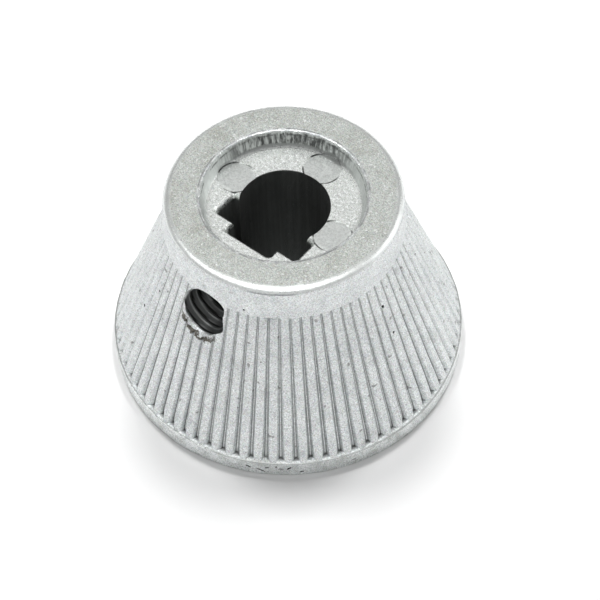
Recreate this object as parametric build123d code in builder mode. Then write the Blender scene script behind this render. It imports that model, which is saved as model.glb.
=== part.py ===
# Fluted instrument knob, cast in one piece, standing on its wide face.
# Origin: centre of the wide face. +Z runs up the shaft axis and out of the bore's mouth.
# The set screw comes in along -Y.

import os
from math import radians, tan

from build123d import *

# Whole knob
knob_height = 15.3
lip_diameter = 25.0

# Plain lip round the wide face
lip_height = 1.4
lip_foot_chamfer = 0.06
lip_crown_chamfer = 0.06

# Cone that carries the flutes, and the smooth collar above it
cone_base_diameter = 24.8
collar_foot_diameter = 16.4
collar_height = 2.8

# Hub end
hub_diameter = 16.2
hub_edge_radius = 0.45

# Round recess in the hub end
recess_diameter = 11.3
recess_depth = 1.3
recess_wall_angle = 15.0
recess_corner_chamfer = 0.25
recess_edge_chamfer = 0.2

# Blind bore for the shaft
shaft_diameter = 6.0
shaft_clearance = 0.15
front_wall = 2.5

# Stepped key pocket beside the bore, reaches measured from the shaft axis
shoulder_width = 6.8
shoulder_start = 1.25
shoulder_reach = 3.05
slot_width = 3.7
slot_reach = 3.9

# Tapped hole for the set screw, its axis measured down from the hub face
tap_drill_diameter = 3.3
set_screw_drop = 4.1

# Ejector pin marks on the floor of the recess
mark_count = 3
mark_diameter = 2.6
mark_circle_radius = 4.15
mark_depth = 0.06

# Flutes: flat-bottomed V grooves that deepen towards the lip
flute_count = 74
flute_floor_width = 0.14
flute_wall_angle = 26.0
flute_depth_at_lip = 0.42
flute_depth_at_collar = 0.11

# Length by which cuts run past the faces that they open
overrun = 0.1

# Radii and heights that follow from the sizes above
lip_radius = lip_diameter / 2
cone_base_radius = cone_base_diameter / 2
collar_foot_radius = collar_foot_diameter / 2
hub_radius = hub_diameter / 2
recess_radius = recess_diameter / 2
bore_radius = shaft_diameter / 2 + shaft_clearance
collar_foot_z = knob_height - collar_height
recess_floor_z = knob_height - recess_depth
recess_floor_radius = recess_radius - recess_depth * tan(radians(recess_wall_angle))
recess_flat_radius = recess_floor_radius - recess_corner_chamfer
set_screw_z = knob_height - set_screw_drop
flute_half_pitch = 180 / flute_count

# One flute as a cutting shape: its section at the lip's top, run up along the slope of its floor
flute_foot = Vector(cone_base_radius - flute_depth_at_lip, 0, lip_height)
flute_head = Vector(collar_foot_radius - flute_depth_at_collar, 0, collar_foot_z)
flute_run = flute_head - flute_foot
flute_reach = max(flute_depth_at_lip, flute_depth_at_collar) + overrun
flute_floor_half = flute_floor_width / 2
flute_mouth_half = flute_floor_half + flute_reach * tan(radians(flute_wall_angle))

with BuildPart() as flute:
    with BuildSketch(Plane.XY.offset(lip_height)):
        with BuildLine():
            Polyline(
                (flute_foot.X, flute_floor_half),
                (flute_foot.X + flute_reach, flute_mouth_half),
                (flute_foot.X + flute_reach, -flute_mouth_half),
                (flute_foot.X, -flute_floor_half),
                close=True,
            )
        make_face()
    extrude(amount=flute_run.length, dir=flute_run)

with BuildPart() as knob_body:
    # Turned outline: wide face, lip, cone, collar, hub face and recess
    with BuildSketch(Plane.XZ) as outline:
        with BuildLine():
            Polyline(
                (0, 0),
                (lip_radius, 0),
                (lip_radius, lip_height),
                (cone_base_radius, lip_height),
                (collar_foot_radius, collar_foot_z),
                (hub_radius, knob_height),
                (recess_radius, knob_height),
                (recess_floor_radius, recess_floor_z),
                (0, recess_floor_z),
                close=True,
            )
        make_face()
        fillet(outline.vertices().sort_by_distance((hub_radius, knob_height))[0], hub_edge_radius)
        edge_breaks = [
            ((lip_radius, 0), lip_foot_chamfer),
            ((lip_radius, lip_height), lip_crown_chamfer),
            ((recess_radius, knob_height), recess_edge_chamfer),
            ((recess_floor_radius, recess_floor_z), recess_corner_chamfer),
        ]
        for corner, length in edge_breaks:
            chamfer(outline.vertices().sort_by_distance(corner)[0], length)
    revolve(axis=Axis.Z)

    # Flutes all round the cone, with a rib on the set screw's side
    with PolarLocations(0, flute_count, start_angle=flute_half_pitch - 90):
        add(flute.part, mode=Mode.SUBTRACT)

    # Pin marks, cut by the bore and kept inside the flat of the recess
    with BuildSketch(Plane.XY.offset(recess_floor_z)):
        with PolarLocations(mark_circle_radius, mark_count, angular_range=180, endpoint=True):
            Circle(mark_diameter / 2)
        Circle(recess_flat_radius, mode=Mode.INTERSECT)
    extrude(amount=-mark_depth, mode=Mode.SUBTRACT)

    # Blind bore with its key pocket towards the set screw
    with BuildSketch(Plane.XY.offset(front_wall)):
        Circle(bore_radius)
        with Locations((0, -(shoulder_start + shoulder_reach) / 2)):
            Rectangle(shoulder_width, shoulder_reach - shoulder_start)
        with Locations((0, -slot_reach / 2)):
            Rectangle(slot_width, slot_reach)
    extrude(amount=knob_height - front_wall + overrun, mode=Mode.SUBTRACT)

    # Tapped hole from the outside into the key slot
    with Locations(Plane(origin=(0, -lip_radius, set_screw_z), z_dir=(0, -1, 0))):
        Hole(radius=tap_drill_diameter / 2, depth=lip_radius)

knob_body.part.label = "knob_body"

os.makedirs("parts", exist_ok=True)
export_step(knob_body.part, "parts/knob_body.step")
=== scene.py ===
import math
from types import SimpleNamespace

import bmesh
import bpy
import numpy as np
from mathutils import Matrix, Vector


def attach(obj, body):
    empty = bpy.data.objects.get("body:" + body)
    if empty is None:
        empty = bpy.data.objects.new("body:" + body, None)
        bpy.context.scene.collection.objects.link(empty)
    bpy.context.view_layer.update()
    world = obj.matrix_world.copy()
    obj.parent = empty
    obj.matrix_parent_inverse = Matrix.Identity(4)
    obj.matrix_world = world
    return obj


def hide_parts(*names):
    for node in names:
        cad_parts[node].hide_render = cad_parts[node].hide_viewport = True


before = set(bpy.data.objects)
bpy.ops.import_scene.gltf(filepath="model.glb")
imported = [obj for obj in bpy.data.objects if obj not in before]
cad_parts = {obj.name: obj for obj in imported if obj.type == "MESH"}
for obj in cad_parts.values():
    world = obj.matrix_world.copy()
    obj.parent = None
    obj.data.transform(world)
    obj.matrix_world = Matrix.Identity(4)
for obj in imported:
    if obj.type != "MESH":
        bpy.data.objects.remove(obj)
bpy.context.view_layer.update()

MM = 0.001

# Sizes of the casting in millimetres: heights from the wide face, radii and reaches from the shaft axis
LIP_R, LIP_TOP, LIP_ROUND, LIP_FOOT = 12.5, 1.4, 0.08, 0.06
CONE_BASE_R = 12.4
COLLAR_FOOT_R, COLLAR_FOOT_Z = 8.2, 12.5
CONE_SLOPE = (COLLAR_FOOT_R - CONE_BASE_R) / (COLLAR_FOOT_Z - LIP_TOP)
HUB_R, HUB_TOP, HUB_ROUND = 8.1, 15.3, 0.55
RECESS_R, FLOOR_Z = 5.65, 14.0
BORE_R, BORE_END_Z = 3.15, 2.5
SHOULDER_HALF, SHOULDER_START, SHOULDER_REACH = 3.4, 1.25, 3.05
SLOT_HALF, SLOT_REACH = 1.85, 3.9
SCREW_Z, SCREW_R, SCREW_LEAD = 11.2, 1.6, 0.7
MARK_R, MARK_CIRCLE_R = 1.3, 4.15

# Flutes: half widths and depth at the lip and at the collar, and the flare at the foot
FLUTES, COLUMNS = 74, 10
PITCH = 2 * math.pi / FLUTES
MOUTH_AT_LIP, MOUTH_AT_COLLAR, MOUTH_FLARE = 0.245, 0.115, 0.11
VALLEY_AT_LIP, VALLEY_AT_COLLAR = 0.08, 0.045
BREAK_AT_LIP, BREAK_AT_COLLAR = 0.015, 0.01
DEPTH_AT_COLLAR, DEPTH_GAIN, DEPTH_FLARE = 0.1, 0.22, 0.1
FLARE_HEIGHT = 0.9

# Viewing angle of the photograph, and where the camera stands and aims in millimetres
AZIMUTH, ELEVATION, ROLL = math.radians(40.5), math.radians(53.03), math.radians(-1.63)
CAMERA_REACH, AIM_HEIGHT, AIM_RIGHT, AIM_DOWN = 140.2, 6.25, 0.88, 1.736

# Brightness of the white room for soft light, added in reflections, and added where the camera sees it
ROOM_LIGHT, ROOM_IN_METAL, ROOM_SEEN = 0.28, 0.19, 0.72


def cone_radius(z):
    return CONE_BASE_R + (COLLAR_FOOT_R - CONE_BASE_R) * (z - LIP_TOP) / (COLLAR_FOOT_Z - LIP_TOP)


def taper(low, high, share):
    return low + (high - low) * share


def edge_rows(side, top, radius, steps, count):
    """Rows round an outer edge, from the upright side to the flat top."""
    angles = [math.pi / 2 * i / count for i in steps]
    return [(side - radius + radius * math.cos(a), top - radius + radius * math.sin(a), 0) for a in angles]


def casting_rows():
    """Rows of the turned outline from the wide face up to the recess floor: radius, height, groove share."""
    wide_face = (0, 4, 8, 11, 12.2, LIP_R - LIP_FOOT)
    lip_side = (LIP_FOOT, 0.25, 0.45, 0.65, 0.85, 1.05, 1.2)
    flute_shelf, shelf_shares = 0.02, (0, 0.33, 0.67, 1)
    cone_count, cone_clear, collar_count = 45, 0.03, 9
    hub_face = (7.3, 7.05, 6.8, 6.5, 6.2, 5.95, 5.72)
    recess_edge = ((5.66, 0.015), (5.61, 0.06), (5.57, 0.15))
    wall_r, wall_drop = recess_edge[-1]
    wall_in, wall_down = 0.045, 0.178
    recess_corner = ((5.31, 0.14), (5.23, 0.04), (5.1, 0))
    recess_floor = (4.8, 4.5, 4.2, 3.9, 3.6, 3.3, 3.0, 2.0, 0)

    rows = [(r, 0, 0) for r in wide_face]
    rows += [(LIP_R, z, 0) for z in lip_side]
    rows += edge_rows(LIP_R, LIP_TOP, LIP_ROUND, range(5), 5)
    rows += [(CONE_BASE_R, LIP_TOP + flute_shelf * s, s) for s in shelf_shares]
    for i in range(1, cone_count + 1):
        z = LIP_TOP + cone_clear + (COLLAR_FOOT_Z - 2 * cone_clear - LIP_TOP) * i / cone_count
        rows.append((cone_radius(z), z, 1))
    rows.append((COLLAR_FOOT_R, COLLAR_FOOT_Z, 0))
    for i in range(1, collar_count + 1):
        s = i / collar_count
        rows.append((taper(COLLAR_FOOT_R, HUB_R, s), taper(COLLAR_FOOT_Z, HUB_TOP - HUB_ROUND, s), 0))
    rows += edge_rows(HUB_R, HUB_TOP, HUB_ROUND, range(1, 7), 6)
    rows += [(r, HUB_TOP, 0) for r in hub_face]
    rows += [(r, HUB_TOP - drop, 0) for r, drop in recess_edge]
    rows += [(wall_r - wall_in * i, HUB_TOP - wall_drop - wall_down * i, 0) for i in range(1, 6)]
    rows += [(r, FLOOR_Z + lift, 0) for r, lift in recess_corner]
    rows += [(r, FLOOR_Z, 0) for r in recess_floor]
    return rows


def waves(angle, z, seed, count, turns, rise):
    """Smooth unevenness: a sum of random waves round and along the knob, about 1 high."""
    dice = np.random.RandomState(seed)
    total = 0
    for _ in range(count):
        k, m, p = dice.randint(1, turns), dice.uniform(-rise, rise), dice.uniform(0, 2 * math.pi)
        total = total + np.sin(k * angle + m * z + p)
    return total / math.sqrt(count)


def wrapped_skin(rows):
    """A grid wrapped round the outline, ten columns to a flute, its points moved into the flutes."""
    merge_distance = 1e-7
    bm = bmesh.new()
    bmesh.ops.create_grid(bm, x_segments=FLUTES * COLUMNS, y_segments=len(rows) - 1, size=1)
    grid = np.array([vert.co[:2] for vert in bm.verts])
    column = np.rint((grid[:, 0] + 1) / 2 * FLUTES * COLUMNS).astype(int)
    row = np.rint((grid[:, 1] + 1) / 2 * (len(rows) - 1)).astype(int)
    spots, sunk, crevice = casting_points(np.array(rows), row, column)
    groove, foot = bm.verts.layers.float.new("groove"), bm.verts.layers.float.new("foot")
    for vert, spot, depth, tight in zip(bm.verts, spots, sunk, crevice):
        vert.co = spot
        vert[groove], vert[foot] = depth, tight
    bmesh.ops.remove_doubles(bm, verts=bm.verts, dist=merge_distance)
    return link("casting_blank", bm)


def casting_points(table, row, column):
    """Where each grid point goes, how deep it lies in a flute, and how near the foot of one."""
    column = column % (FLUTES * COLUMNS)
    r, z, share = table[row, 0], table[row, 1], table[row, 2]

    # Column in the flute: 0 the valley, 1 to 4 up the wall and its broken edge, 5 the middle of the rib
    step = column % COLUMNS
    side = np.where(step > COLUMNS // 2, -1, 1)
    step = np.where(step > COLUMNS // 2, COLUMNS - step, step)
    flute = ((column + np.where(side < 0, COLUMNS // 2, 0)) // COLUMNS) % FLUTES

    # How single flutes differ in width, depth, place round the cone and height of their upper ends
    wide_spread, deep_spread, shift_spread, lift_spread = 0.07, 0.06, 0.012, 0.05
    dice = np.random.RandomState(7)
    wide = dice.normal(1, wide_spread, FLUTES)[flute]
    deep = dice.normal(1, deep_spread, FLUTES)[flute]
    shift = dice.normal(0, shift_spread, FLUTES)[flute]
    lift = dice.normal(0, lift_spread, FLUTES)[flute]

    # Widths and depth on the way up the cone
    valley_share, break_share, mouth_wave = 0.97, 0.3, 0.05
    up = np.clip((z - LIP_TOP) / (COLLAR_FOOT_Z - LIP_TOP), 0, 1)
    flare = np.clip(1 - (z - LIP_TOP) / FLARE_HEIGHT, 0, 1) ** 2
    mouth = (taper(MOUTH_AT_LIP, MOUTH_AT_COLLAR, up) + MOUTH_FLARE * flare) * wide
    mouth = mouth * (1 + mouth_wave * waves(flute * 1.7, z, seed=3, count=5, turns=4, rise=2.0))
    valley = taper(VALLEY_AT_LIP, VALLEY_AT_COLLAR, up)
    broken = taper(BREAK_AT_LIP, BREAK_AT_COLLAR, up)
    depth = (DEPTH_AT_COLLAR + DEPTH_GAIN * (1 - up) + DEPTH_FLARE * flare) * deep
    climb = broken / (mouth - valley)
    half = PITCH * cone_radius(np.clip(z, LIP_TOP, COLLAR_FOOT_Z)) / 2
    away = np.choose(step, [0 * r, valley, mouth - broken, mouth, mouth + broken, half])
    sunk = np.choose(step, [1 + 0 * r, valley_share + 0 * r, climb, break_share * climb, 0 * r, 0 * r])

    # Even columns again above the cone
    even_height, top_share, top_lift = 0.6, 0.985, 0.6
    even = np.clip((z - COLLAR_FOOT_Z) / even_height, 0, 1)
    turn = away / half * PITCH / 2
    turn = turn * (1 - even) + step * PITCH / COLUMNS * even
    turn = flute * PITCH + side * turn + shift * PITCH * (1 - even)
    r = r - share * sunk * depth
    z = z + np.where((share == 1) & (up > top_share), lift * top_lift, 0)

    # Unevenness of the cone, the other outer walls, the hub face, the recess wall and its rim
    on_cone = (share > 0) | ((z < LIP_TOP + 0.05) & (r > 12.3))
    outer = (z > 0.01) & ~on_cone & (r > 7)
    r = r + np.where(on_cone, -0.012 + 0.010 * waves(turn, z, seed=11, count=14, turns=60, rise=1.5), 0)
    r = r + np.where(outer, -0.006 + 0.005 * waves(turn, z, seed=12, count=14, turns=40, rise=2.0), 0)
    face = (z > HUB_TOP - 0.03) & (r < 7.66)
    z = z + np.where(face, -0.008 + 0.006 * waves(turn, r, seed=13, count=16, turns=30, rise=4.0), 0)
    wall = (r < 5.7) & (r > 5.2) & (z < HUB_TOP - 0.02) & (z > FLOOR_Z + 0.02)
    r = r + np.where(wall, 0.010 * waves(turn, 0.3 * z, seed=14, count=40, turns=220, rise=0.5), 0)
    rim = (r < 5.9) & (r > 5.55) & (z > HUB_TOP - 0.2)
    r = r + np.where(rim, 0.02 * waves(turn, z, seed=15, count=30, turns=90, rise=0.5), 0)

    # Flash left standing along the lip's upper edge on the set screw's side
    flash_middle, flash_half, flash_height = -96, 22, 0.1
    edge = (table[row, 0] > CONE_BASE_R + 0.01) & (table[row, 1] > LIP_TOP - 0.15) & (share == 0)
    where = np.degrees((turn + math.pi) % (2 * math.pi) - math.pi)
    flash = np.clip(1 - ((where - flash_middle) / flash_half) ** 2, 0, 1)
    flash = flash * (0.7 + 0.3 * waves(turn, z, seed=16, count=12, turns=160, rise=0.1))
    stand = np.clip(table[row, 1] - LIP_TOP + flash_height, 0, flash_height)
    z = z + np.where(edge, np.clip(flash, 0, 1) * stand, 0)

    r, z = np.minimum(r, LIP_R), np.minimum(z, HUB_TOP)
    foot_height = 0.3
    crevice = np.where(share > 0, sunk * share * np.clip(1 - abs(z - LIP_TOP) / foot_height, 0, 1), 0)
    return np.stack([r * np.cos(turn), r * np.sin(turn), z], 1) * MM, sunk * share, crevice


def rounded(points, radii):
    """A closed outline with its corners rounded."""
    arc_steps = 4
    out = []
    count = len(points)
    for i, (corner, radius) in enumerate(zip(points, radii)):
        corner, before, after = Vector(corner), Vector(points[i - 1]), Vector(points[(i + 1) % count])
        if radius == 0:
            out.append(corner)
            continue
        a, b = (before - corner).normalized(), (after - corner).normalized()
        half = a.angle(b) / 2
        reach = radius / math.tan(half)
        centre = corner + (a + b).normalized() * (radius / math.sin(half))
        start, end = corner + a * reach - centre, corner + b * reach - centre
        for k in range(arc_steps + 1):
            arc = start.lerp(end, k / arc_steps)
            out.append(centre + arc.normalized() * radius)
    return out


def keyed_outline(spare):
    """The bore with its stepped key pocket, the pocket grown by a spare length."""
    arc_steps = 64
    wide, start, reach = SHOULDER_HALF + spare, SHOULDER_START - spare, SHOULDER_REACH + spare
    slot, deep = SLOT_HALF + spare, SLOT_REACH + spare
    meet = math.atan2(-start, math.sqrt(BORE_R * BORE_R - start * start))
    points, radii = [], []
    for i in range(arc_steps + 1):
        a = meet + (math.pi - 2 * meet) * i / arc_steps
        points.append((BORE_R * math.cos(a), BORE_R * math.sin(a)))
        radii.append(0)
    left = [(-wide, -start), (-wide, -reach), (-slot, -reach), (-slot, -deep)]
    corner_rounds = [0.2, 0.3, 0.07, 0.35]
    points += left + [(-x, y) for x, y in reversed(left)]
    radii += corner_rounds + corner_rounds[::-1]
    return rounded(points, radii)


def link(name, bm):
    mesh = bpy.data.meshes.new(name)
    bmesh.ops.recalc_face_normals(bm, faces=bm.faces)
    bm.to_mesh(mesh)
    bm.free()
    piece = bpy.data.objects.new(name, mesh)
    bpy.context.scene.collection.objects.link(piece)
    return piece


def bore_cutter():
    """The keyed bore as a plug, with a small break round its mouth: layers of spare length and height."""
    above_hub = 16.0
    layers = [(0, BORE_END_Z), (0, FLOOR_Z - 0.42), (0.05, FLOOR_Z - 0.28), (0.12, FLOOR_Z - 0.13),
              (0.25, FLOOR_Z + 0.001), (0.4, above_hub)]
    bm = bmesh.new()
    before = keyed_outline(layers[0][0])
    face = bm.faces.new([bm.verts.new((p.x * MM, p.y * MM, layers[0][1] * MM)) for p in before])
    for count, (spare, z) in enumerate(layers[1:]):
        below = face
        grown = bmesh.ops.extrude_face_region(bm, geom=[face])
        face = [g for g in grown["geom"] if isinstance(g, bmesh.types.BMFace)][0]
        if below.is_valid and count > 0:
            bmesh.ops.delete(bm, geom=[below], context="FACES_ONLY")
        after = keyed_outline(spare)
        for vert in face.verts:
            here = vert.co.xy / MM
            p = after[min(range(len(before)), key=lambda i: (before[i] - here).length)]
            vert.co = (p.x * MM, p.y * MM, z * MM)
        before = after
    return link("bore_plug", bm)


def screw_cutter():
    """The set screw's thread as a plug along the -Y direction."""
    start, end, rows, turns = 3.2, 11.0, 68, 44
    crest_cut, root_depth, flank, root_flat = 0.02, 0.25, 2.6, 1.2
    reach = [start + (end - start) * i / rows for i in range(rows + 1)]
    bm = bmesh.new()
    line = [bm.verts.new((SCREW_R * MM, -y * MM, 0)) for y in reach]
    edges = [bm.edges.new(pair) for pair in zip(line, line[1:])]
    bmesh.ops.spin(bm, geom=line + edges, axis=(0, 1, 0), cent=(0, 0, 0), dvec=(0, 0, 0),
                   angle=2 * math.pi, steps=turns, use_merge=True)
    for vert in bm.verts:
        a = math.atan2(vert.co.z, vert.co.x)
        lead = (vert.co.y / MM / SCREW_LEAD + a / (2 * math.pi)) % 1
        root = max(0, 1 - abs(lead - 0.5) * flank)
        radius = (SCREW_R - crest_cut + root_depth * min(1, root * root_flat)) * MM
        vert.co = (radius * math.cos(a), vert.co.y, radius * math.sin(a) + SCREW_Z * MM)
    bmesh.ops.holes_fill(bm, edges=[e for e in bm.edges if e.is_boundary], sides=0)
    return link("screw_plug", bm)


def mark_cutters():
    """Shallow discs where ejector pins met the recess floor."""
    disc_height, disc_middle, disc_flare = 0.58, 0.25, 0.02
    bm = bmesh.new()
    for degrees in (0, 90, 180):
        a = math.radians(degrees)
        x, y = MARK_CIRCLE_R * math.cos(a), MARK_CIRCLE_R * math.sin(a)
        spot = Matrix.Translation((x * MM, y * MM, (FLOOR_Z + disc_middle) * MM))
        bmesh.ops.create_cone(bm, cap_ends=True, segments=64, radius1=MARK_R * MM,
                              radius2=(MARK_R + disc_flare) * MM, depth=disc_height * MM, matrix=spot)
    return link("pin_marks", bm)


def pit_cutters():
    """Pits in the cone and short cold-shut marks on the lip: angle, height, length, width, lean."""
    pits = [(-4.5, 10.7, 0.2, 0.18, 0), (-3, 8.4, 0.1, 0.1, 0), (36, 5.9, 0.12, 0.1, 0),
            (-124, 7.1, 0.14, 0.11, 0), (-118, 9.6, 0.08, 0.08, 0), (-70, 12.9, 0.08, 0.08, 0),
            (-64, 0.75, 0.22, 0.08, -25), (-60, 0.5, 0.4, 0.07, -28), (-58, 0.85, 0.16, 0.06, 20),
            (-55, 1.0, 0.1, 0.08, 80), (-53.5, 0.75, 0.22, 0.06, 5), (-51, 0.85, 0.22, 0.08, 40),
            (-47, 0.4, 0.18, 0.08, 20), (-30, 0.6, 0.15, 0.05, 0)]
    pit_depth, collar_skin = 0.12, 0.05
    bm = bmesh.new()
    for degrees, z, long, wide, lean in pits:
        a = math.radians(degrees)
        r = LIP_R if z < LIP_TOP else max(cone_radius(z), HUB_R + collar_skin)
        turn = Matrix.Rotation(a, 4, "Z") @ Matrix.Rotation(math.radians(lean), 4, "X")
        spot = Matrix.Translation((r * math.cos(a) * MM, r * math.sin(a) * MM, z * MM))
        size = Matrix.Diagonal((pit_depth * MM, long * MM, wide * MM, 1))
        bmesh.ops.create_icosphere(bm, subdivisions=2, radius=1, matrix=spot @ turn @ size)
    pit = bm.verts.layers.float.new("pit")
    for vert in bm.verts:
        vert[pit] = 1
    return link("pits", bm)


def knob_casting():
    """The whole casting: turned blank, flutes, keyed bore, pin marks, tapped hole and pits."""
    sharp_angle = math.radians(22)
    blank = wrapped_skin(casting_rows())
    plugs = [mark_cutters(), bore_cutter(), screw_cutter(), pit_cutters()]
    for plug in plugs:
        cut = blank.modifiers.new(plug.name, "BOOLEAN")
        cut.operation, cut.solver, cut.object = "DIFFERENCE", "MANIFOLD", plug
    view = bpy.context.evaluated_depsgraph_get()
    mesh = bpy.data.meshes.new_from_object(blank.evaluated_get(view))
    for scrap in plugs + [blank]:
        bpy.data.objects.remove(scrap)
    mesh.name = "knob_casting"
    mesh.materials.clear()
    mesh.polygons.foreach_set("material_index", [0] * len(mesh.polygons))
    piece = bpy.data.objects.new("knob_casting", mesh)
    bpy.context.scene.collection.objects.link(piece)
    mesh.polygons.foreach_set("use_smooth", [True] * len(mesh.polygons))
    mesh.set_sharp_from_angle(angle=sharp_angle)
    return piece


def aim_camera():
    """Camera at the photograph's angle: high, in front, with the set screw hole on the left."""
    back = Vector((
        math.sin(AZIMUTH) * math.cos(ELEVATION),
        -math.cos(AZIMUTH) * math.cos(ELEVATION),
        math.sin(ELEVATION),
    ))
    right = Vector((math.cos(AZIMUTH), math.sin(AZIMUTH), 0))
    up = back.cross(right)
    middle = Vector((0, 0, AIM_HEIGHT * MM))
    place = middle + back * CAMERA_REACH * MM
    target = middle + right * AIM_RIGHT * MM - up * AIM_DOWN * MM
    data = bpy.data.cameras.new("camera")
    data.lens = 120
    data.sensor_width = 36
    data.clip_start = 0.01
    data.clip_end = 10
    camera = bpy.data.objects.new("camera", data)
    bpy.context.scene.collection.objects.link(camera)
    turn = (target - place).to_track_quat("-Z", "Y").to_matrix().to_4x4()
    camera.matrix_world = Matrix.Translation(place) @ turn @ Matrix.Rotation(ROLL, 4, "Z")
    bpy.context.scene.camera = camera


def from_camera(right, back, height):
    """A place given as the camera sees it, in metres: to the right, behind the knob, and up."""
    return (right * math.cos(AZIMUTH) - back * math.sin(AZIMUTH),
            right * math.sin(AZIMUTH) + back * math.cos(AZIMUTH), height)


def soft_lamp(name, place, size, watts, mirrored=True, spread=True):
    """A round soft lamp aimed at the knob's foot, seen in the metal, in soft light, or both."""
    data = bpy.data.lights.new(name, "AREA")
    data.shape = "DISK"
    data.size = size
    data.energy = watts
    lamp = bpy.data.objects.new(name, data)
    bpy.context.scene.collection.objects.link(lamp)
    lamp.visible_glossy, lamp.visible_diffuse = mirrored, spread
    lamp.location = place
    lamp.rotation_euler = (-Vector(place)).to_track_quat("-Z", "Y").to_euler()


def white_room():
    world = bpy.data.worlds.new("white_room")
    bpy.context.scene.world = world
    world.use_nodes = True
    tree = world.node_tree
    sky = tree.nodes["Background"]
    sky.inputs["Color"].default_value = (1, 1, 1, 1)
    path = tree.nodes.new("ShaderNodeLightPath")
    level = calc(tree, "MULTIPLY_ADD", path.outputs["Is Glossy Ray"], ROOM_IN_METAL, ROOM_LIGHT)
    level = calc(tree, "MULTIPLY_ADD", path.outputs["Is Camera Ray"], ROOM_SEEN, level)
    tree.links.new(level, sky.inputs["Strength"])


def pale_floor():
    paper, half_width = 0.9, 0.6
    bm = bmesh.new()
    bmesh.ops.create_grid(bm, x_segments=1, y_segments=1, size=half_width)
    floor = link("floor", bm)
    material = bpy.data.materials.new("floor_paper")
    material.use_nodes = True
    shader = material.node_tree.nodes["Principled BSDF"]
    shader.inputs["Base Color"].default_value = (paper, paper, paper, 1)
    shader.inputs["Roughness"].default_value = 0.9
    floor.data.materials.append(material)


def wire(tree, kind, values=None, **settings):
    """Add a shader node, set its properties, and set or link its inputs."""
    node = tree.nodes.new(kind)
    for key, value in settings.items():
        setattr(node, key, value)
    for key, value in (values or {}).items():
        if isinstance(value, bpy.types.NodeSocket):
            tree.links.new(value, node.inputs[key])
        else:
            node.inputs[key].default_value = value
    return node


def calc(tree, operation, *terms):
    return wire(tree, "ShaderNodeMath", dict(enumerate(terms)), operation=operation).outputs[0]


def chain(tree, operation, first, *others):
    """One operation run through any number of values."""
    for other in others:
        first = calc(tree, operation, first, other)
    return first


def product(tree, *masks):
    return chain(tree, "MULTIPLY", *masks)


def scaled(tree, value, factor, added):
    return calc(tree, "MULTIPLY_ADD", value, factor, added)


def rise(tree, value, low, high):
    """Smooth step from 0 at the first value to 1 at the second."""
    return wire(tree, "ShaderNodeMapRange", {"Value": value, "From Min": low, "From Max": high},
                interpolation_type="SMOOTHSTEP").outputs["Result"]


def between(tree, value, low, high):
    """1 between two soft limits, each a pair of values from low to high."""
    return product(tree, rise(tree, value, low[0], low[1]), rise(tree, value, high[1], high[0]))


def grain(tree, vector, *, scale, detail, rough=0.5):
    return wire(tree, "ShaderNodeTexNoise", {"Vector": vector, "Scale": scale, "Detail": detail,
                                             "Roughness": rough}).outputs["Fac"]


def painted(tree, name):
    """A value kept on the casting's points."""
    return wire(tree, "ShaderNodeAttribute", attribute_name=name).outputs["Fac"]


def blend(tree, share, first, second, mode="MIX"):
    return wire(tree, "ShaderNodeMix", {0: share, 6: first, 7: second},
                data_type="RGBA", blend_type=mode).outputs[2]


def tone(tree, colour, mask, strength, paint):
    """The colour with some paint laid over it where the mask is."""
    return blend(tree, product(tree, mask, strength), colour, paint)


def grey(value, red=0.97, blue=0.985):
    """A grey, cool by default."""
    return (value * red, value, value * blue, 1)


def casting_places(tree):
    """Where on the casting: its own coordinates in millimetres, soft masks of its parts, and its grains."""
    coords = wire(tree, "ShaderNodeTexCoord").outputs["Object"]
    scale = (1 / MM, 1 / MM, 1 / MM)
    mm = wire(tree, "ShaderNodeMapping", {"Vector": coords, "Scale": scale}).outputs[0]
    x, y, z = wire(tree, "ShaderNodeSeparateXYZ", {0: mm}).outputs
    flat = wire(tree, "ShaderNodeCombineXYZ", {0: x, 1: y}).outputs[0]
    radius = wire(tree, "ShaderNodeVectorMath", {0: flat}, operation="LENGTH").outputs["Value"]
    at = SimpleNamespace(mm=mm, x=x, y=y, z=z, flat=flat, radius=radius)
    at.around = calc(tree, "ARCTAN2", y, x)

    # Height, raised in the key pocket because its mouth is broken lower down
    at.key = scaled(tree, rise(tree, y, -1.0, -1.4), 0.45, z)

    # Hub face and its outer edge
    at.face = product(tree, rise(tree, z, HUB_TOP - 0.2, HUB_TOP - 0.05),
                      rise(tree, radius, RECESS_R + 0.05, RECESS_R + 0.25))
    at.edge = product(tree, rise(tree, radius, HUB_R - 0.6, HUB_R - 0.45),
                      rise(tree, z, HUB_TOP - 0.35, HUB_TOP - 0.27))

    # Recess: floor, wall and rim
    at.inside = rise(tree, radius, RECESS_R + 0.1, RECESS_R - 0.05)
    at.floor = product(tree, at.inside, rise(tree, z, FLOOR_Z + 0.2, FLOOR_Z + 0.05),
                       rise(tree, at.key, FLOOR_Z - 0.12, FLOOR_Z - 0.06))
    at.wall = product(tree, at.inside, rise(tree, z, FLOOR_Z + 0.03, FLOOR_Z + 0.12),
                      rise(tree, z, HUB_TOP - 0.1, HUB_TOP - 0.25))
    at.rim = product(tree, rise(tree, radius, RECESS_R + 0.25, RECESS_R + 0.05),
                     rise(tree, z, HUB_TOP - 0.32, HUB_TOP - 0.18))

    # Grains: clouds, fine grain, flecks, broken lines, and streaks drawn out along the shaft axis
    at.cloud = grain(tree, mm, scale=1.1, detail=5, rough=0.65)
    at.fine = grain(tree, mm, scale=11.0, detail=2, rough=0.7)
    at.fleck = grain(tree, mm, scale=5.0, detail=3, rough=0.7)
    at.broken = rise(tree, grain(tree, mm, scale=0.9, detail=2), 0.42, 0.56)
    drawn = wire(tree, "ShaderNodeMapping", {"Vector": mm, "Scale": (4.5, 4.5, 0.1)}).outputs[0]
    at.streak = rise(tree, grain(tree, drawn, scale=1.0, detail=3, rough=0.6), 0.38, 0.66)
    return at


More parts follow.
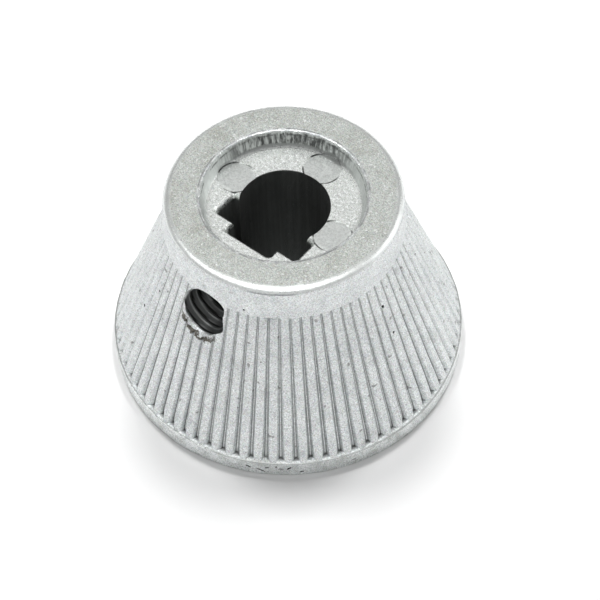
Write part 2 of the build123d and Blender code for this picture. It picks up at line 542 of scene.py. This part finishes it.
def cast_skin(tree, at):
    """Mottled and speckled skin, warmer on the hub face, pale on the recess floor, and on the lip a mottled
    stain painted paler than the cone as light.
    """
    mottle = rise(tree, at.cloud, 0.3, 0.7)
    colour = blend(tree, mottle, grey(0.67, blue=1.0), grey(0.78, blue=1.0))
    patch = rise(tree, grain(tree, at.mm, scale=0.4, detail=4, rough=0.6), 0.36, 0.62)
    smudge = rise(tree, grain(tree, at.mm, scale=0.8, detail=3, rough=0.6), 0.6, 0.72)
    colour = tone(tree, colour, patch, 0.12, grey(0.4, 0.92, 1.05))
    colour = tone(tree, colour, smudge, 0.3, grey(0.4, 0.94, 1.02))

    warm = blend(tree, mottle, grey(0.61, 0.97, 0.93), grey(0.76, 0.96, 0.955))
    rubbed = blend(tree, at.cloud, grey(0.67, 0.96, 0.95), grey(0.83, 0.96, 0.96))
    colour = blend(tree, at.face, colour, blend(tree, patch, warm, rubbed))
    pale = blend(tree, at.cloud, grey(0.78, 0.965, 0.965), grey(1.0, 0.965, 0.965))
    colour = blend(tree, at.floor, colour, pale)
    # Lip: a mottled stain, its pale end painted lighter than the cone to lighten the lip where it mirrors
    # the shaded floor
    lip = product(tree, rise(tree, at.radius, LIP_R - 0.3, LIP_R - 0.2),
                  rise(tree, at.z, LIP_TOP + 0.05, LIP_TOP))
    lip_stain_and_light = blend(tree, mottle, grey(0.64, 0.97, 0.98), grey(0.92, 0.97, 1.0))
    colour = blend(tree, lip, colour, lip_stain_and_light)

    shade = scaled(tree, at.fine, 1.8, 0.1)
    coarse = scaled(tree, at.fleck, 1.6, -0.8)
    shade = scaled(tree, coarse, scaled(tree, at.floor, 0.5, 0.15), shade)
    shade = wire(tree, "ShaderNodeCombineColor", {0: shade, 1: shade, 2: shade}).outputs[0]
    colour = blend(tree, 1.0, colour, shade, "MULTIPLY")
    tints = wire(tree, "ShaderNodeTexNoise", {"Vector": at.mm, "Scale": 6.0, "Detail": 2.0}).outputs["Color"]
    return blend(tree, 0.3, colour, tints, "SOFT_LIGHT")


def flute_shade_and_specks(tree, at, colour):
    """Painted shade along the foot of the flute walls and at their lower ends, dark specks, and pits painted
    near black as shade.
    """
    # Painted shade: the flute walls darkened next to the valley, where the grooves lie in shade
    groove_shade = between(tree, painted(tree, "groove"), (0.76, 0.94), (0.98, 0.999))
    colour = tone(tree, colour, groove_shade, 0.7, grey(0.12))
    # Painted shade at the lower ends of the flutes on the shelf by the lip, patchy with the clouds
    foot = product(tree, rise(tree, painted(tree, "foot"), 0.2, 0.7), rise(tree, at.cloud, 0.3, 0.5))
    colour = tone(tree, colour, foot, 0.75, grey(0.1))
    speck = product(tree, rise(tree, grain(tree, at.mm, scale=1.9, detail=1), 0.72, 0.76),
                    rise(tree, at.radius, HUB_R, HUB_R + 0.3), rise(tree, at.z, LIP_TOP, LIP_TOP + 0.6))
    colour = tone(tree, colour, speck, 0.7, grey(0.2, 1.02, 0.96))
    # Pits painted near black, standing in for the shade inside them
    return blend(tree, rise(tree, painted(tree, "pit"), 0.1, 0.6), colour, grey(0.05))


def pin_marks_and_flecks(tree, at, colour):
    """Smooth discs left by the ejector pins, each in a broken dark line, and bright flecks in the metal."""
    spots = ((MARK_CIRCLE_R, 0, 0), (0, MARK_CIRCLE_R, 0), (-MARK_CIRCLE_R, 0, 0))
    far = [wire(tree, "ShaderNodeVectorMath", {0: at.flat, 1: spot}, operation="DISTANCE").outputs["Value"]
           for spot in spots]
    disc = product(tree, rise(tree, chain(tree, "MINIMUM", *far), MARK_R, MARK_R - 0.1), at.floor)
    near = [calc(tree, "ABSOLUTE", calc(tree, "SUBTRACT", way, MARK_R + 0.01)) for way in far]
    line = product(tree, rise(tree, chain(tree, "MINIMUM", *near), 0.08, 0.03), at.floor, at.broken)
    colour = tone(tree, colour, disc, 0.5, grey(0.82))

    # Most of the flecks are on the hub face and the recess floor
    lit = scaled(tree, at.face, 0.06, scaled(tree, at.floor, 0.13, at.fleck))
    spark = rise(tree, grain(tree, at.mm, scale=2.4, detail=2, rough=0.5), 0.7, 0.74)
    spark = product(tree, spark, calc(tree, "ADD", at.face, at.floor))
    lit = calc(tree, "MAXIMUM", rise(tree, lit, 0.65, 0.73), spark)
    lit = product(tree, lit, scaled(tree, disc, -0.6, 1.0))
    colour = tone(tree, colour, lit, 0.9, grey(0.95))
    return blend(tree, line, colour, grey(0.06)), lit


def recess_wall_marks_and_shade(tree, at, colour):
    """Drag marks down the wall of the recess, darkened further by a painted dark reflection on the side away
    from the set screw.
    """
    away = scaled(tree, at.x, -0.105, product(tree, at.y, 0.15))
    away = rise(tree, away, 0.35, 0.95)
    # Drag-mark streaks, with a painted dark reflection laid over them on the far side
    drag_marks_and_reflection = blend(tree, at.streak, grey(0.1), grey(0.62))
    colour = blend(tree, at.wall, colour, grey(0.78))
    colour = blend(tree, product(tree, at.wall, away), colour, drag_marks_and_reflection)

    # Painted shade in the corner of the floor on the side away from the set screw, and a seam below the rim
    corner = product(tree, rise(tree, at.radius, 4.8, 5.25), at.inside, away,
                     rise(tree, at.z, FLOOR_Z + 0.35, FLOOR_Z + 0.2))
    deep = calc(tree, "MAXIMUM", rise(tree, at.radius, 5.02, 5.12), rise(tree, at.fine, 0.58, 0.42))
    colour = blend(tree, product(tree, corner, deep), colour, grey(0.3))
    seam = between(tree, at.z, (HUB_TOP - 0.46, HUB_TOP - 0.38), (HUB_TOP - 0.34, HUB_TOP - 0.28))
    seam = product(tree, seam, at.inside, rise(tree, at.cloud, 0.4, 0.55))
    return tone(tree, colour, seam, 0.7, grey(0.12))


def rubbed_and_highlit_edges(tree, at, colour):
    """Edges rubbed bright and painted brighter as highlights, the flash on the lip painted bright as a
    highlight, and thin dark lines beside them.
    """
    # Recess rim and hub edge: rubbed wear, brightened further as a painted highlight
    rubbed_and_highlit = product(tree, at.rim, rise(tree, grain(tree, at.mm, scale=1.6, detail=4, rough=0.65), 0.42, 0.6))
    rubbed_and_highlit = calc(tree, "MAXIMUM", rubbed_and_highlit, product(tree, at.edge, 0.7))
    # Flash on the lip's upper edge, rubbed bright and painted brighter still as a highlight
    flash = product(tree, between(tree, at.around, (-2.05, -1.95), (-1.4, -1.3)),
                    rise(tree, at.radius, LIP_R - 0.11, LIP_R - 0.08),
                    rise(tree, at.z, LIP_TOP - 0.15, LIP_TOP - 0.1), rise(tree, at.fleck, 0.4, 0.5))
    # Painted shade on the lip's rounded top, dimming the reflection it catches
    crown = product(tree, rise(tree, at.radius, LIP_R - 0.12, LIP_R - 0.09),
                    between(tree, at.z, (LIP_TOP - 0.11, LIP_TOP - 0.07), (LIP_TOP + 0.06, LIP_TOP + 0.1)))
    colour = tone(tree, colour, crown, 0.6, grey(0.3))
    rubbed_and_highlit = calc(tree, "MAXIMUM", rubbed_and_highlit, flash)
    colour = blend(tree, rubbed_and_highlit, colour, grey(0.97))

    # Line round the recess on the hub face
    ring = between(tree, at.radius, (RECESS_R + 0.03, RECESS_R + 0.08), (RECESS_R + 0.12, RECESS_R + 0.18))
    ring = product(tree, ring, rise(tree, at.z, HUB_TOP - 0.15, HUB_TOP - 0.08), at.broken)
    colour = tone(tree, colour, ring, 0.6, grey(0.2))

    # Line where the hub's round meets the collar
    under = between(tree, at.z, (HUB_TOP - 0.5, HUB_TOP - 0.45), (HUB_TOP - 0.38, HUB_TOP - 0.33))
    span = between(tree, at.around, (-1.28, -1.12), (-0.85, -0.72))
    under = product(tree, under, span, rise(tree, at.radius, HUB_R - 0.3, HUB_R - 0.2))
    return tone(tree, colour, under, 0.6, grey(0.12, blue=1.1)), rubbed_and_highlit


def dark_bore(tree, at, colour):
    """The bore and its key pocket, painted dark as shade, with faint streaks."""
    dark = product(tree, rise(tree, at.key, FLOOR_Z, FLOOR_Z - 0.15), rise(tree, at.z, 0.3, 0.6),
                   rise(tree, at.radius, 5.0, 4.7))
    return blend(tree, dark, colour, blend(tree, at.streak, grey(0.25), grey(0.31)))


def tapped_hole(tree, at, colour):
    """Thread painted with light and shade, crests paler than roots and darkest deep in, and a dark ragged
    band below the hole's mouth.
    """
    cone = scaled(tree, at.z, CONE_SLOPE, CONE_BASE_R - CONE_SLOPE * LIP_TOP)
    sunk = calc(tree, "SUBTRACT", calc(tree, "MAXIMUM", cone, HUB_R + 0.02), at.radius)
    off = wire(tree, "ShaderNodeCombineXYZ", {0: at.x, 2: calc(tree, "SUBTRACT", at.z, SCREW_Z)}).outputs[0]
    off = wire(tree, "ShaderNodeVectorMath", {0: off}, operation="LENGTH").outputs["Value"]
    below = scaled(tree, at.x, -0.2, calc(tree, "SUBTRACT", SCREW_Z, at.z))
    below = rise(tree, calc(tree, "DIVIDE", below, off), 0.45, 0.8)
    ragged = grain(tree, at.mm, scale=2.3, detail=3, rough=0.6)
    # A dark ragged band below the hole's mouth
    ragged_band = scaled(tree, ragged, 0.7, calc(tree, "SUBTRACT", off, 0.35))
    ragged_band = product(tree, between(tree, ragged_band, (1.75, 1.8), (1.98, 2.06)), below, rise(tree, at.y, -7.0, -8.0))
    colour = tone(tree, colour, ragged_band, 0.9, grey(0.06, 1.15, 0.75))
    sunk = scaled(tree, below, -0.22, sunk)
    hole = product(tree, rise(tree, off, SCREW_R + 0.4, SCREW_R + 0.33), rise(tree, sunk, 0.1, 0.3),
                   rise(tree, at.y, -3.4, -3.7))
    # Painted light and shade inside the hole: crests paler, roots dark, darker still deeper in
    thread = blend(tree, rise(tree, off, SCREW_R, SCREW_R + 0.05), grey(0.2), grey(0.08))
    thread = blend(tree, rise(tree, sunk, 0.8, 3.2), thread, grey(0.06))
    return blend(tree, hole, colour, thread)


def cast_metal():
    """Bare cast light metal: mottled and speckled skin, hollows painted dark as shade, edges rubbed bright
    and painted as highlights.
    """
    material = bpy.data.materials.new("cast_metal")
    material.use_nodes = True
    tree = material.node_tree
    shader = tree.nodes["Principled BSDF"]
    at = casting_places(tree)
    colour = cast_skin(tree, at)
    colour = flute_shade_and_specks(tree, at, colour)
    colour, lit = pin_marks_and_flecks(tree, at, colour)
    colour = recess_wall_marks_and_shade(tree, at, colour)
    colour, rubbed_and_highlit = rubbed_and_highlit_edges(tree, at, colour)
    colour = dark_bore(tree, at, colour)
    colour = tapped_hole(tree, at, colour)

    # Shine: smoother where rubbed and on the flecks, over a finely uneven surface
    rough = scaled(tree, at.cloud, 0.2, 0.34)
    rough = scaled(tree, rubbed_and_highlit, -0.2, rough)
    rough = scaled(tree, lit, -0.3, rough)
    height = scaled(tree, at.cloud, 0.5, product(tree, at.fine, 0.6))
    bump = wire(tree, "ShaderNodeBump", {"Strength": 0.6, "Distance": 0.05 * MM, "Height": height})
    tree.links.new(colour, shader.inputs["Base Color"])
    tree.links.new(rough, shader.inputs["Roughness"])
    tree.links.new(bump.outputs[0], shader.inputs["Normal"])
    shader.inputs["Metallic"].default_value = 1.0
    return material


scene = bpy.context.scene
scene.view_settings.view_transform = "Standard"
aim_camera()
white_room()
pale_floor()

# Two lamps light the floor from behind, and four cards show only in the metal
soft_lamp("left_lamp", from_camera(-0.098, 0.207, 0.447), size=0.12, watts=1.34, mirrored=False)
soft_lamp("right_lamp", from_camera(0.098, 0.207, 0.447), size=0.12, watts=1.34, mirrored=False)
soft_lamp("front_card", from_camera(-0.02, -0.14, 0.34), size=0.42, watts=0.83, spread=False)
soft_lamp("back_card", from_camera(0, 0.3, 0.4), size=0.2, watts=0.075, spread=False)
soft_lamp("left_card", from_camera(-0.256, -0.016, 0.31), size=0.2, watts=0.16, spread=False)
soft_lamp("right_card", from_camera(0.33, 0.04, 0.15), size=0.3, watts=0.24, spread=False)

casting = knob_casting()
casting.data.materials.append(cast_metal())
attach(casting, "root")
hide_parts("knob_body")
